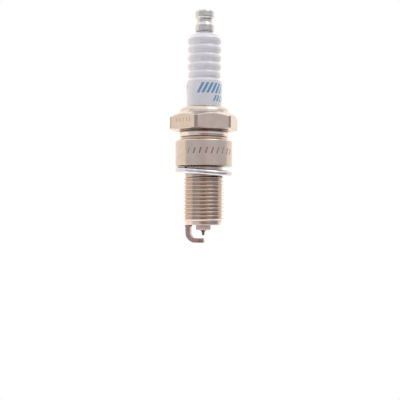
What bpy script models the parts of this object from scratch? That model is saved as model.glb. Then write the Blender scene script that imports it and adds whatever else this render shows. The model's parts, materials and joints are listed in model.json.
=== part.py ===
"""A spark plug: M14 x 1.25 thread, 19 mm reach, 20.8 mm hexagon and a fine-wire centre electrode.

The origin is on the plug's axis, in the plane of the shell's gasket seat. +Z points towards the terminal,
so the thread and the firing end are below the origin. Two flats of the hexagon face -Y and +Y.
Dimensions are in millimetres and are scaled to metres as each mesh is made. A radius is measured from the
plug's axis, and an outline is a closed loop of (radius, z) points that runs down the outer side of a piece
and back up its inner side.
"""

import math

import bmesh
import bpy
from mathutils import Matrix, Vector

MM = 0.001
MERGE_DISTANCE = 1e-6  # metres
SHARP_ANGLE = math.radians(35)

# Driving dimensions
PITCH = 1.25
THREAD_DEPTH_SHARE = 0.6134  # depth of an external thread, as a share of its pitch
THREAD_CREST_R = 6.925
THREAD_ROOT_R = THREAD_CREST_R - THREAD_DEPTH_SHARE * PITCH
SHELL_END_Z = -19.75  # the nominal reach is 19
HEX_ACROSS_FLATS = 20.8
TERMINAL_TOP_Z = 53.0
SPARK_GAP = 1.0
SLIP = 0.05  # gap between inner pieces that touch on the real plug

# Shell
SHELL_END_R = 6.1
SHELL_BORE_R = 5.1
FIRING_BORE_R = 4.4
PACKING_BORE_R = 7.35
SEAT_R = 9.6
SEAT_EDGE = 0.3
NECK_R = 6.35
SHOULDER_Z = 8.3
SHOULDER_TOP_R = 8.15
BULGE_Z = 10.8  # the round bulge between the seat's shoulder and the hexagon
BULGE_R = 8.32
BULGE_SIZE = (0.42, 1.0)
HEX_TOP_Z = 17.75
HEX_BOTTOM_Z = 12.05
HEX_TOP_R = 9.3
HEX_TOP_CHAMFER = math.radians(30)
HEX_BOTTOM_R = 10.3
HEX_BOTTOM_CHAMFER = math.radians(15)
CRIMP_R = 8.4
CRIMP_TOP_Z = 20.1
LIP_R = 6.08
BORE_STEP_LOW_Z = 2.95
BORE_STEP_HIGH_Z = 5.25
THREAD_START_Z = -3.15
THREAD_END_Z = -18.65
THREAD_FADE = 0.6
CREST_Z_AT_PLUS_X = -3.69  # height of the first crest where it crosses the +X side
CORNER_CUT = math.radians(2)  # half the angle that a hexagon corner's small flat takes up
COLUMNS_PER_FLAT = 6

# Insulator
BARREL_R = 6.0
BARREL_TOP_Z = 28.75
WAIST_R = 5.08
WAIST_Z = 29.7
FLANGE_R = 7.1
FLANGE_TOP_Z = 11.95
BODY_R = 4.95
NOSE_R = 2.42
NOSE_ROUND_R = 0.75
NOSE_END_Z = -21.45
RIB_COUNT = 5
RIB_PITCH = 2.9
FIRST_RIB_Z = 30.85
FIRST_RIB_R = 5.55
RIB_R = 5.75
RIB_GROOVE_R = 5.05
INSULATOR_TOP_Z = 44.6
STUD_BORE_R = 1.95
STUD_BORE_END_Z = -4.25
ELECTRODE_BORE_R = 1.15

# Packing between insulator and shell
PACKING_R = 6.66
PACKING_WIRE_R = 0.58
UPPER_PACKING_Z = 18.05
LOWER_PACKING_Z = 12.95
INNER_SEAT_TOP_Z = -7.25
INNER_SEAT_END_Z = -8.25
INNER_SEAT_GASKET = 0.6  # its thickness
LEDGE_R = 3.9

# Terminal
STUD_THREAD_PITCH = 0.7
STUD_CREST_R = 1.98
STUD_ROOT_R = STUD_CREST_R - THREAD_DEPTH_SHARE * STUD_THREAD_PITCH
STUD_SHANK_R = 1.7
COLLAR_R = 2.9
COLLAR_TOP_Z = 45.45
STUD_TOP_Z = 51.6
STUD_END_Z = 9.35
STUD_END_R = 1.45
NUT_R = 3.175
NUT_WAIST_R = 2.575
NUT_BORE_R = 2.1

# Conductive column inside the insulator
COLUMN_R = STUD_BORE_R - SLIP
UPPER_SEAL_TOP_Z = 13.35
RESISTOR_TOP_Z = 7.3
RESISTOR_END_Z = -0.25
SEAL_CUP_R = 1.5

# Firing end
ELECTRODE_R = 1.05
ELECTRODE_HEAD_R = 1.45
ELECTRODE_HEAD_TOP_Z = -2.05
ELECTRODE_END_Z = -22.05
CUP_BOTTOM_Z = -20.15
CORE_R = 0.55
TIP_END_Z = -23.25
TIP_R = 0.42
TIP_WELD_R = 0.53
TIP_WELD_HEIGHT = 0.27
STRAP_THICKNESS = 1.5
STRAP_WIDTH = 2.8
STRAP_TIP_WIDTH = 2.2
STRAP_OUTER_R = 5.9
STRAP_BEND_R = 1.9  # inner side of the bend
STRAP_TIP_X = 0.2  # how far the strap reaches past the axis
STRAP_TAPER_LENGTH = 1.8
STRAP_EDGE = 0.15
STRAP_DIRECTION = math.radians(-30)  # from the strap's root to its tip
STRAP_ROOT_Z = SHELL_END_Z - SLIP
WELD_BEAD = (0.2, 1.2, 0.25)  # half sizes
WELD_GAP = 0.03

# Crush gasket, a ring of rolled sheet that hangs tilted on the neck above the thread
GASKET_Z = -2.1
GASKET_TILT = math.radians(4.35)
GASKET_LOW_SIDE = math.radians(-46.8)  # direction of its lowest point
GASKET_OUTER_R = 9.75
GASKET_INNER_R = 6.75
GASKET_HALF_HEIGHT = 0.95
SHEET = 0.4


def material(name, color, roughness, metallic):
    made = bpy.data.materials.new(name)
    made.use_nodes = True
    shader = made.node_tree.nodes["Principled BSDF"]
    shader.inputs["Base Color"].default_value = (*color, 1.0)
    shader.inputs["Roughness"].default_value = roughness
    shader.inputs["Metallic"].default_value = metallic
    return made


def finished_object(name, mesh, surface):
    """Turns a bmesh in millimetres into an object in metres."""
    bmesh.ops.scale(mesh, vec=(MM, MM, MM), verts=mesh.verts)
    bmesh.ops.remove_doubles(mesh, verts=mesh.verts, dist=MERGE_DISTANCE)
    loose_edges = [edge for edge in mesh.edges if not edge.link_faces]
    bmesh.ops.delete(mesh, geom=loose_edges, context="EDGES")
    bmesh.ops.recalc_face_normals(mesh, faces=mesh.faces)
    data = bpy.data.meshes.new(name)
    mesh.to_mesh(data)
    mesh.free()
    data.materials.append(surface)
    data.shade_smooth()
    data.set_sharp_from_angle(angle=SHARP_ANGLE)
    made = bpy.data.objects.new(name, data)
    bpy.context.scene.collection.objects.link(made)
    return made


def on_turn(radius, angle, z):
    return Vector((radius * math.cos(angle), radius * math.sin(angle), z))


def solid_from_columns(name, columns, surface):
    """Joins (angle, outline) columns, each beside the next, into one solid round the axis.

    The last column stands at a full turn, so it lands on the first and merging closes the seam.
    """
    mesh = bmesh.new()
    rings = [[mesh.verts.new(on_turn(r, angle, z)) for r, z in outline] for angle, outline in columns]
    for ring, next_ring in zip(rings, rings[1:]):
        for i in range(len(ring)):
            j = (i + 1) % len(ring)
            mesh.faces.new((ring[i], ring[j], next_ring[j], next_ring[i]))
    return finished_object(name, mesh, surface)


def turned(name, outline, surface, sides):
    """A piece with the same outline all round."""
    columns = [(math.tau * i / sides, outline) for i in range(sides + 1)]
    return solid_from_columns(name, columns, surface)


def arc(centre, radii, start, end, steps):
    """Points along an elliptical arc, from one angle to another in degrees."""
    points = []
    for i in range(steps + 1):
        angle = math.radians(start + (end - start) * i / steps)
        points.append((centre[0] + radii[0] * math.cos(angle), centre[1] + radii[1] * math.sin(angle)))
    return points


def thread(angle, start_z, end_z, crest_r, root_r, pitch, crest_z, fade):
    """A right-handed 60 degree thread where it crosses one column, from top to bottom.

    crest_z is a crest's height at angle zero. The thread rises out of the root within the fade length
    at either end.
    """
    depth = crest_r - root_r
    flank = depth * math.tan(math.radians(30)) / pitch
    crest_half = 1 / 16
    form = (
        (-crest_half, True),
        (crest_half, True),
        (crest_half + flank, False),
        (1 - crest_half - flank, False),
    )
    turns = math.ceil((start_z - end_z) / pitch) + 2
    first_z = crest_z + pitch * (math.ceil((start_z - crest_z) / pitch) + angle / math.tau)
    points = []
    for turn in range(turns):
        for share, is_crest in form:
            z = min(max(first_z - pitch * (turn + share), end_z), start_z)
            height = min(start_z - z, z - end_z, fade) / fade
            points.append((root_r + depth * height * is_crest, z))
    return points


def hexagon_radius(angle):
    """Distance from the axis to the hexagon's side. Flats face 30 degrees and every 60 from there."""
    from_flat = (angle % math.radians(60)) - math.radians(30)
    return HEX_ACROSS_FLATS / 2 / math.cos(from_flat)


def crimp_and_hexagon(angle):
    hex_r = hexagon_radius(angle)
    dome_r = LIP_R + 0.1
    dome = arc((dome_r, HEX_TOP_Z), (CRIMP_R - dome_r, CRIMP_TOP_Z - HEX_TOP_Z), 90, 0, 6)
    top_edge_z = HEX_TOP_Z - (hex_r - HEX_TOP_R) * math.tan(HEX_TOP_CHAMFER)
    bottom_edge_z = HEX_BOTTOM_Z + (hex_r - HEX_BOTTOM_R) * math.tan(HEX_BOTTOM_CHAMFER)
    hexagon = [
        (HEX_TOP_R, HEX_TOP_Z),
        (hex_r, top_edge_z),
        (hex_r, bottom_edge_z),
        (HEX_BOTTOM_R, HEX_BOTTOM_Z),
    ]
    return dome + hexagon


def bulge_seat_and_neck():
    """From the bulge under the hexagon down the shoulder, the seat cylinder and the neck."""
    bulge = arc((BULGE_R - BULGE_SIZE[0], BULGE_Z), BULGE_SIZE, 90, -90, 6)
    shoulder_height = BULGE_Z - BULGE_SIZE[1] - SHOULDER_Z
    shoulder_run = SEAT_R - SHOULDER_TOP_R
    shoulder = [
        (SHOULDER_TOP_R, SHOULDER_Z + 0.93 * shoulder_height),
        (SHOULDER_TOP_R + 0.41 * shoulder_run, SHOULDER_Z + 0.47 * shoulder_height),
        (SHOULDER_TOP_R + 0.86 * shoulder_run, SHOULDER_Z + 0.13 * shoulder_height),
        (SEAT_R, SHOULDER_Z),
    ]
    seat = [(SEAT_R, SEAT_EDGE), (SEAT_R - SEAT_EDGE, 0.0)]
    neck = [(NECK_R + SEAT_EDGE, 0.0), (NECK_R, -SEAT_EDGE), (NECK_R, THREAD_START_Z + SEAT_EDGE)]
    return bulge + shoulder + seat + neck


def shell_outline(angle):
    threads = thread(
        angle,
        THREAD_START_Z,
        THREAD_END_Z,
        THREAD_CREST_R,
        THREAD_ROOT_R,
        PITCH,
        CREST_Z_AT_PLUS_X,
        THREAD_FADE,
    )
    firing_end = [
        (SHELL_END_R, THREAD_END_Z - 0.1),
        (SHELL_END_R, SHELL_END_Z + 0.2),
        (SHELL_END_R - 0.2, SHELL_END_Z),
        (FIRING_BORE_R, SHELL_END_Z),
    ]
    ledge_end_z = INNER_SEAT_END_Z - 0.6
    bore = [
        (FIRING_BORE_R, ledge_end_z - 0.5),
        (LEDGE_R, ledge_end_z),
        (LEDGE_R, INNER_SEAT_END_Z),
        (SHELL_BORE_R, INNER_SEAT_TOP_Z),
        (SHELL_BORE_R, BORE_STEP_LOW_Z),
        (PACKING_BORE_R, BORE_STEP_HIGH_Z),
        (PACKING_BORE_R, HEX_TOP_Z),
    ]
    crimp_height = CRIMP_TOP_Z - HEX_TOP_Z
    inside_crimp = [
        (PACKING_BORE_R - 0.15, HEX_TOP_Z + 0.26 * crimp_height),
        (LIP_R + 0.6, HEX_TOP_Z + 0.55 * crimp_height),
        (LIP_R, HEX_TOP_Z + 0.68 * crimp_height),
        (LIP_R, CRIMP_TOP_Z - 0.1),
    ]
    return crimp_and_hexagon(angle) + bulge_seat_and_neck() + threads + firing_end + bore + inside_crimp


def make_metal_shell(surface):
    """Columns stand closer together at the hexagon's corners, so each corner gets a small flat."""
    spread = math.radians(60) - 2 * CORNER_CUT
    angles = []
    for flat in range(6):
        for i in range(COLUMNS_PER_FLAT):
            angles.append(math.radians(60) * flat + CORNER_CUT + spread * i / (COLUMNS_PER_FLAT - 1))
    angles.append(angles[0] + math.tau)
    columns = [(angle, shell_outline(angle)) for angle in angles]
    return solid_from_columns("metal_shell", columns, surface)


def rib_points():
    """The insulator's ribs from the top down, each with the groove above it. The lowest is the smallest."""
    points = []
    for rib in reversed(range(RIB_COUNT)):
        centre_z = FIRST_RIB_Z + RIB_PITCH * rib
        crest_r = FIRST_RIB_R if rib == 0 else RIB_R
        rise = crest_r - RIB_GROOVE_R
        points += [
            (RIB_GROOVE_R, centre_z + RIB_PITCH / 2),
            (crest_r - 0.3 * rise, centre_z + 0.26 * RIB_PITCH),
            (crest_r, centre_z + 0.07 * RIB_PITCH),
            (crest_r, centre_z - 0.12 * RIB_PITCH),
            (crest_r - 0.4 * rise, centre_z - 0.26 * RIB_PITCH),
        ]
    return points


def make_insulator(surface):
    top = [
        (STUD_BORE_R, INSULATOR_TOP_Z),
        (RIB_GROOVE_R - 0.8, INSULATOR_TOP_Z),
        (RIB_GROOVE_R - 0.2, INSULATOR_TOP_Z - 0.3),
        (RIB_GROOVE_R, INSULATOR_TOP_Z - 0.6),
    ]
    barrel = [
        (WAIST_R, WAIST_Z),
        (BARREL_R - 0.3, BARREL_TOP_Z + 0.3),
        (BARREL_R, BARREL_TOP_Z - 0.3),
        (BARREL_R, LOWER_PACKING_Z - 0.3),
    ]
    body = [
        (FLANGE_R, FLANGE_TOP_Z),
        (FLANGE_R, BORE_STEP_HIGH_Z + 0.5),
        (BODY_R, BORE_STEP_LOW_Z + 0.6),
        (BODY_R, INNER_SEAT_TOP_Z + INNER_SEAT_GASKET),
        (LEDGE_R - 0.15, INNER_SEAT_END_Z + INNER_SEAT_GASKET),
        (LEDGE_R - 0.3, INNER_SEAT_END_Z + INNER_SEAT_GASKET / 2),
    ]
    round_r = NOSE_ROUND_R
    nose = arc((NOSE_R - round_r, NOSE_END_Z + round_r), (round_r, round_r), 0, -90, 4)
    bore = [
        (ELECTRODE_BORE_R, NOSE_END_Z),
        (ELECTRODE_BORE_R, STUD_BORE_END_Z),
        (STUD_BORE_R, STUD_BORE_END_Z),
    ]
    return turned("insulator", top + rib_points() + barrel + body + nose + bore, surface, 24)


def make_packing(wire, powder):
    """Two wire rings with talc pressed between them, and the flat ring on the shell's inner seat."""
    for name, z in (("upper_packing_ring", UPPER_PACKING_Z), ("lower_packing_ring", LOWER_PACKING_Z)):
        ring = arc((PACKING_R, z), (PACKING_WIRE_R, PACKING_WIRE_R), 180, -135, 7)
        turned(name, ring, wire, 24)
    talc_top = UPPER_PACKING_Z - PACKING_WIRE_R - SLIP
    talc_bottom = LOWER_PACKING_Z + PACKING_WIRE_R + SLIP
    inner_r = BARREL_R + 0.1
    outer_r = PACKING_BORE_R - 0.1
    talc = [(inner_r, talc_top), (outer_r, talc_top), (outer_r, talc_bottom), (inner_r, talc_bottom)]
    turned("talc_filling", talc, powder, 24)
    slope = (INNER_SEAT_TOP_Z - INNER_SEAT_END_Z) / (SHELL_BORE_R - LEDGE_R)
    ring_low_r = LEDGE_R + 0.15
    ring_high_r = BODY_R - 0.1
    seat_low_z = INNER_SEAT_END_Z + (ring_low_r - LEDGE_R) * slope + SLIP
    seat_high_z = INNER_SEAT_END_Z + (ring_high_r - LEDGE_R) * slope + SLIP
    flat_ring = [
        (ring_low_r, seat_low_z + INNER_SEAT_GASKET),
        (ring_high_r, seat_high_z + INNER_SEAT_GASKET),
        (ring_high_r, seat_high_z),
        (ring_low_r, seat_low_z),
    ]
    turned("inner_seat_gasket", flat_ring, wire, 24)


def make_terminal(nut_surface, stud_surface):
    nut = [
        (0.0, TERMINAL_TOP_Z),
        (NUT_R - 0.65, TERMINAL_TOP_Z),
        (NUT_R - 0.15, TERMINAL_TOP_Z - 0.35),
        (NUT_R, TERMINAL_TOP_Z - 0.8),
        (NUT_R, TERMINAL_TOP_Z - 2.4),
        (NUT_WAIST_R, TERMINAL_TOP_Z - 3.1),
        (NUT_WAIST_R, TERMINAL_TOP_Z - 4.4),
        (NUT_R, TERMINAL_TOP_Z - 5.2),
        (NUT_R, COLLAR_TOP_Z + 0.35),
        (NUT_R - 0.3, COLLAR_TOP_Z + SLIP),
        (NUT_BORE_R, COLLAR_TOP_Z + SLIP),
        (NUT_BORE_R, STUD_TOP_Z + 0.3),
        (0.0, STUD_TOP_Z + 0.3),
    ]
    turned("terminal_nut", nut, nut_surface, 24)
    sides = 16
    columns = []
    for i in range(sides + 1):
        angle = math.tau * i / sides
        outline = [(0.0, STUD_TOP_Z), (STUD_ROOT_R - 0.3, STUD_TOP_Z)]
        outline += thread(
            angle,
            STUD_TOP_Z - 0.3,
            COLLAR_TOP_Z + 0.5,
            STUD_CREST_R,
            STUD_ROOT_R,
            STUD_THREAD_PITCH,
            COLLAR_TOP_Z + 1.0,
            0.4,
        )
        outline += [
            (STUD_ROOT_R, COLLAR_TOP_Z),
            (COLLAR_R, COLLAR_TOP_Z),
            (COLLAR_R, INSULATOR_TOP_Z + SLIP),
            (STUD_SHANK_R, INSULATOR_TOP_Z + SLIP),
            (STUD_SHANK_R, UPPER_SEAL_TOP_Z + 0.5),
            (STUD_END_R, UPPER_SEAL_TOP_Z + 0.3),
            (STUD_END_R, STUD_END_Z + 0.3),
            (STUD_END_R - 0.3, STUD_END_Z),
            (0.0, STUD_END_Z),
        ]
        columns.append((angle, outline))
    solid_from_columns("terminal_stud", columns, stud_surface)


def make_conductive_column(seal_surface, resistor_surface):
    """Glass seal, resistor and glass seal, stacked in the insulator's bore."""
    seal_bottom_z = RESISTOR_TOP_Z + SLIP
    upper = [
        (SEAL_CUP_R, UPPER_SEAL_TOP_Z),
        (COLUMN_R, UPPER_SEAL_TOP_Z),
        (COLUMN_R, seal_bottom_z),
        (0.0, seal_bottom_z),
        (0.0, STUD_END_Z - SLIP),
        (SEAL_CUP_R, STUD_END_Z - SLIP),
    ]
    turned("upper_glass_seal", upper, seal_surface, 20)
    rod = [
        (0.0, RESISTOR_TOP_Z),
        (COLUMN_R, RESISTOR_TOP_Z),
        (COLUMN_R, RESISTOR_END_Z),
        (0.0, RESISTOR_END_Z),
    ]
    turned("resistor", rod, resistor_surface, 20)
    lower = [
        (0.0, RESISTOR_END_Z - SLIP),
        (COLUMN_R, RESISTOR_END_Z - SLIP),
        (COLUMN_R, STUD_BORE_END_Z + 0.1),
        (SEAL_CUP_R, STUD_BORE_END_Z + 0.1),
        (SEAL_CUP_R, ELECTRODE_HEAD_TOP_Z + SLIP),
        (0.0, ELECTRODE_HEAD_TOP_Z + SLIP),
    ]
    turned("lower_glass_seal", lower, seal_surface, 20)


def make_centre_electrode(nickel, copper, iridium, melted):
    """A nickel cup with a head, its copper core, and the fine wire welded on its end."""
    cup = [
        (CORE_R + SLIP, ELECTRODE_HEAD_TOP_Z),
        (ELECTRODE_HEAD_R, ELECTRODE_HEAD_TOP_Z),
        (ELECTRODE_HEAD_R, STUD_BORE_END_Z + SLIP),
        (ELECTRODE_R, STUD_BORE_END_Z + SLIP),
        (ELECTRODE_R, NOSE_END_Z - SLIP),
        (TIP_WELD_R, ELECTRODE_END_Z),
        (0.0, ELECTRODE_END_Z),
        (0.0, CUP_BOTTOM_Z),
        (CORE_R + SLIP, CUP_BOTTOM_Z),
    ]
    turned("centre_electrode", cup, nickel, 20)
    core_bottom_z = CUP_BOTTOM_Z + SLIP
    core = [
        (0.0, ELECTRODE_HEAD_TOP_Z - SLIP),
        (CORE_R, ELECTRODE_HEAD_TOP_Z - SLIP),
        (CORE_R, core_bottom_z + 0.2),
        (CORE_R - 0.2, core_bottom_z),
        (0.0, core_bottom_z),
    ]
    turned("copper_core", core, copper, 16)
    weld_top_z = ELECTRODE_END_Z - SLIP / 2
    weld_end_z = weld_top_z - TIP_WELD_HEIGHT
    weld = [
        (0.0, weld_top_z),
        (TIP_WELD_R - 0.03, weld_top_z),
        (TIP_WELD_R, weld_top_z - TIP_WELD_HEIGHT / 2),
        (TIP_R, weld_end_z),
        (0.0, weld_end_z),
    ]
    turned("tip_weld", weld, melted, 16)
    tip_top_z = weld_end_z - SLIP / 2
    tip = [
        (0.0, tip_top_z),
        (TIP_R, tip_top_z),
        (TIP_R - 0.06, TIP_END_Z + 0.22),
        (TIP_R - 0.18, TIP_END_Z + 0.04),
        (0.0, TIP_END_Z),
    ]
    turned("iridium_tip", tip, iridium, 16)


def strap_stations():
    """Points along the strap's middle line, as (x, z, heading in degrees, width), from root to tip."""
    middle_r = STRAP_BEND_R + STRAP_THICKNESS / 2
    middle_x = -(STRAP_OUTER_R - STRAP_THICKNESS / 2)
    leg_z = TIP_END_Z - SPARK_GAP - STRAP_THICKNESS / 2
    bend_x = middle_x + middle_r
    bend_z = leg_z + middle_r
    stations = [(middle_x, STRAP_ROOT_Z, -90, STRAP_WIDTH)]
    for x, z in arc((bend_x, bend_z), (middle_r, middle_r), 180, 270, 8):
        heading = math.degrees(math.atan2(z - bend_z, x - bend_x)) + 90
        stations.append((x, z, heading, STRAP_WIDTH))
    stations.append((STRAP_TIP_X - STRAP_TAPER_LENGTH, leg_z, 0, STRAP_WIDTH))
    stations.append((STRAP_TIP_X, leg_z, 0, STRAP_TIP_WIDTH))
    return stations


def strap_section(width):
    """A rectangle with small cut corners, as (across the thickness, across the width) points."""
    half_t = STRAP_THICKNESS / 2
    half_w = width / 2
    corners = []
    for sign_t, sign_w in ((1, 1), (-1, 1), (-1, -1), (1, -1)):
        near_w = (sign_t * half_t, sign_w * (half_w - STRAP_EDGE))
        near_t = (sign_t * (half_t - STRAP_EDGE), sign_w * half_w)
        corners += [near_w, near_t] if sign_t * sign_w > 0 else [near_t, near_w]
    return corners


def make_ground_electrode(nickel, melted):
    turn = Matrix.Rotation(STRAP_DIRECTION, 3, "Z")
    mesh = bmesh.new()
    sections = []
    for x, z, heading, width in strap_stations():
        across_x = -math.sin(math.radians(heading))
        across_z = math.cos(math.radians(heading))
        points = [Vector((x + t * across_x, w, z + t * across_z)) for t, w in strap_section(width)]
        sections.append([mesh.verts.new(turn @ point) for point in points])
    for section, next_section in zip(sections, sections[1:]):
        for i in range(len(section)):
            j = (i + 1) % len(section)
            mesh.faces.new((section[i], section[j], next_section[j], next_section[i]))
    mesh.faces.new(sections[0])
    mesh.faces.new(reversed(sections[-1]))
    finished_object("ground_electrode", mesh, nickel)

    bead_z = STRAP_ROOT_Z - WELD_BEAD[2] - WELD_GAP
    outer_x = -(STRAP_OUTER_R + WELD_BEAD[0] + WELD_GAP)
    inner_x = -(STRAP_OUTER_R - STRAP_THICKNESS - WELD_BEAD[0] - WELD_GAP)
    for name, x in (("ground_weld_outer", outer_x), ("ground_weld_inner", inner_x)):
        mesh = bmesh.new()
        bmesh.ops.create_uvsphere(mesh, u_segments=12, v_segments=6, radius=1.0)
        place = turn.to_4x4() @ Matrix.Translation((x, 0, bead_z)) @ Matrix.Diagonal((*WELD_BEAD, 1.0))
        bmesh.ops.transform(mesh, matrix=place, verts=mesh.verts)
        finished_object(name, mesh, melted)


def make_crush_gasket(surface):
    """Sheet rolled into a flat ring: top layer, round rim, bottom layer, inner fold and middle layer.

    The outline runs along the sheet's outer face and back along its inner face, so the roll stays open
    towards the axis. The object's origin is on the plug's axis, which the loose ring turns about.
    """
    high = GASKET_HALF_HEIGHT
    low_inside = SHEET - high
    top_layer_r = GASKET_INNER_R + 0.3
    rim_x = GASKET_OUTER_R - high
    fold_half = high / 2
    fold_x = GASKET_INNER_R + fold_half
    fold_inside_r = fold_x + 0.1
    middle_end_r = rim_x - SHEET
    middle_top = 0.2
    outer_face = [(top_layer_r, high)]
    outer_face += arc((rim_x, 0), (high, high), 90, -90, 6)
    outer_face += arc((fold_x, fold_half - high), (fold_half, fold_half), 270, 90, 4)[:-1]
    middle_layer = [(fold_x, middle_top), (middle_end_r, middle_top), (middle_end_r, middle_top - SHEET)]
    inside = [(fold_inside_r, middle_top - SHEET), (fold_inside_r, low_inside)]
    inside += arc((rim_x, 0), (high - SHEET, high - SHEET), -90, 90, 4)
    inside += [(top_layer_r, high - SHEET)]
    ring = turned("crush_gasket", outer_face + middle_layer + inside, surface, 30)
    lean_axis = (-math.sin(GASKET_LOW_SIDE), math.cos(GASKET_LOW_SIDE), 0)
    lean = Matrix.Rotation(GASKET_TILT, 4, lean_axis)
    ring.matrix_world = Matrix.Translation((0, 0, GASKET_Z * MM)) @ lean


for old in list(bpy.data.objects):
    bpy.data.objects.remove(old, do_unlink=True)

plated_steel = material("nickel_plated_steel", (0.66, 0.60, 0.56), 0.28, 1.0)
bright_steel = material("bright_sheet_steel", (0.78, 0.78, 0.80), 0.18, 1.0)
packing_steel = material("packing_steel", (0.45, 0.45, 0.46), 0.4, 1.0)
terminal_steel = material("terminal_steel", (0.72, 0.71, 0.69), 0.25, 1.0)
glazed_ceramic = material("glazed_ceramic", (0.80, 0.80, 0.81), 0.12, 0.0)
talc = material("talc_powder", (0.75, 0.74, 0.70), 0.9, 0.0)
copper_glass = material("copper_glass", (0.42, 0.24, 0.17), 0.5, 0.3)
carbon_glass = material("carbon_glass", (0.05, 0.05, 0.05), 0.6, 0.0)
nickel_alloy = material("nickel_alloy", (0.36, 0.31, 0.27), 0.45, 1.0)
copper_metal = material("copper", (0.72, 0.38, 0.24), 0.3, 1.0)
iridium_metal = material("iridium", (0.40, 0.38, 0.37), 0.3, 1.0)
weld_metal = material("weld_metal", (0.20, 0.16, 0.14), 0.5, 1.0)

make_metal_shell(plated_steel)
make_insulator(glazed_ceramic)
make_packing(packing_steel, talc)
make_terminal(terminal_steel, terminal_steel)
make_conductive_column(copper_glass, carbon_glass)
make_centre_electrode(nickel_alloy, copper_metal, iridium_metal, weld_metal)
make_ground_electrode(nickel_alloy, weld_metal)
make_crush_gasket(bright_steel)
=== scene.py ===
"""The looks of the spark plug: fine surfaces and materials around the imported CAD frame.

Lengths are in millimetres until a mesh is made, like part.py's, and +Z points towards the terminal.
An outline is a list of (radius, z) points that runs down a piece's outer side and up its inner side.
"""

import json
import math

import bmesh
import bpy
from mathutils import Matrix, Vector, noise


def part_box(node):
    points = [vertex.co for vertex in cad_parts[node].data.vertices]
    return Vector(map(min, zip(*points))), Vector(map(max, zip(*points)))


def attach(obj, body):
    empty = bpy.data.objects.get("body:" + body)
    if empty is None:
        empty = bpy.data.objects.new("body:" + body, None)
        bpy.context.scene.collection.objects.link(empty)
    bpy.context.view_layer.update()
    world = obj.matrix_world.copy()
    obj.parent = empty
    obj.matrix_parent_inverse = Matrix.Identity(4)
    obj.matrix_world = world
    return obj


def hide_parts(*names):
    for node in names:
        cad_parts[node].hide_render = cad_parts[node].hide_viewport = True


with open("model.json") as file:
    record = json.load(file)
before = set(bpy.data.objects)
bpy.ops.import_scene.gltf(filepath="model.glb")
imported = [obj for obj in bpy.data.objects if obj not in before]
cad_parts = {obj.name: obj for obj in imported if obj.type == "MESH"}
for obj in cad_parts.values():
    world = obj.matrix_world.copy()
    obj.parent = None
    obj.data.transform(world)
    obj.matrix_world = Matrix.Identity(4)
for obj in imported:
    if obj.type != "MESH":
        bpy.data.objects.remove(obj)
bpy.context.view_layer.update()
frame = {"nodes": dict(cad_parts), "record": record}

MM = 0.001
WELD_DISTANCE = 2e-7  # metres
GUARD_GAP = 0.03
BODY_OF_NODE = {
    node: body for body, nodes in frame["record"]["behaviour"]["bodies"].items() for node in nodes
}


def low_z(node):
    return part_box(node)[0].z / MM


def high_z(node):
    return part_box(node)[1].z / MM


# ---------------------------------------------------------------- sizes, read from the frame or as in part.py
VIEW_AZIMUTH = math.radians(-16.8)
SHELL_END_Z = low_z("metal_shell")
CRIMP_TOP_Z = high_z("metal_shell")
NOSE_END_Z = low_z("insulator")
INSULATOR_TOP_Z = high_z("insulator")
TERMINAL_TOP_Z = high_z("terminal_nut")
NUT_BOTTOM_Z = low_z("terminal_nut")
STUD_TOP_Z = high_z("terminal_stud")
STUD_END_Z = low_z("terminal_stud")
ELECTRODE_TOP_Z = high_z("centre_electrode")
ELECTRODE_END_Z = low_z("centre_electrode")
STRAP_ROOT_Z = high_z("ground_electrode")
STRAP_END_Z = low_z("ground_electrode")
TIP_END_Z = low_z("iridium_tip")
TIP_TOP_Z = high_z("iridium_tip")

THREAD_DEPTH_SHARE = 0.6134  # of the pitch, on a metric external thread
PITCH = 1.25
THREAD_CREST_R = 6.925
THREAD_ROOT_R = THREAD_CREST_R - THREAD_DEPTH_SHARE * PITCH
HEX_HALF = 10.4
HEX_CORNER_R = 0.5
HEX_CORNER_REACH = 11.78
HEX_TOP_Z = 17.75
HEX_BOTTOM_Z = 12.05
HEX_TOP_R = 9.3
HEX_BOTTOM_R = 10.3
CRIMP_R = 8.4
LIP_R = 6.08
SEAT_R = 9.6
NECK_R = 6.35
SHELL_END_R = 6.1
FIRING_BORE_R = 4.4
LEDGE_R = 3.9  # the ledge that the insulator's inner seat rests on
LEDGE_BOTTOM_Z = -8.85
LEDGE_TOP_Z = -8.25
LOWER_BORE_R = 5.1
UPPER_BORE_R = 7.35
SHOULDER_Z = 8.3
BULGE_Z = 10.8
BULGE_R = 8.32
BULGE_SIZE = (0.42, 1.0)
THREAD_START_Z = -3.15
THREAD_END_Z = -18.65
CREST_Z_AT_PLUS_X = -3.69

BARREL_R = 6.0
BARREL_TOP_Z = 28.75
WAIST_R = 5.08
WAIST_Z = 29.7
FLANGE_R = 7.1  # the insulator's widest part, clamped inside the shell
FLANGE_TOP_Z = 11.95
FLANGE_BOTTOM_Z = 5.75
STEM_R = 4.95
STEM_END_Z = -6.65
NOSE_ROOT_R = 3.6
NOSE_ROOT_Z = -7.95
NOSE_R = 2.42
STUD_BORE_R = 1.95
ELECTRODE_BORE_R = 1.15
BORE_STEP_Z = -4.25
GLAZE_END_Z = 7.0
RIB_COUNT = 5
RIB_PITCH = 2.9
FIRST_RIB_Z = 30.85
FIRST_RIB_R = 5.55
RIB_R = 5.75
RIB_GROOVE_R = 5.05

NUT_R = 3.175
NUT_WAIST_R = NUT_R - 0.6
NUT_BORE_R = 2.1
STUD_PITCH = 0.7
STUD_CREST_R = 1.98
COLLAR_R = 2.9
SHANK_R = 1.7
KNURL_TOP_Z = 13.85
KNURL_R = 1.45

GASKET_Z = -2.1
GASKET_RISE = 0.28  # this ring hangs that much higher than the CAD's, still clear of the seat
GASKET_TILT = math.radians(4.35)
GASKET_LOW_SIDE = math.radians(-46.8)

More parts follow.
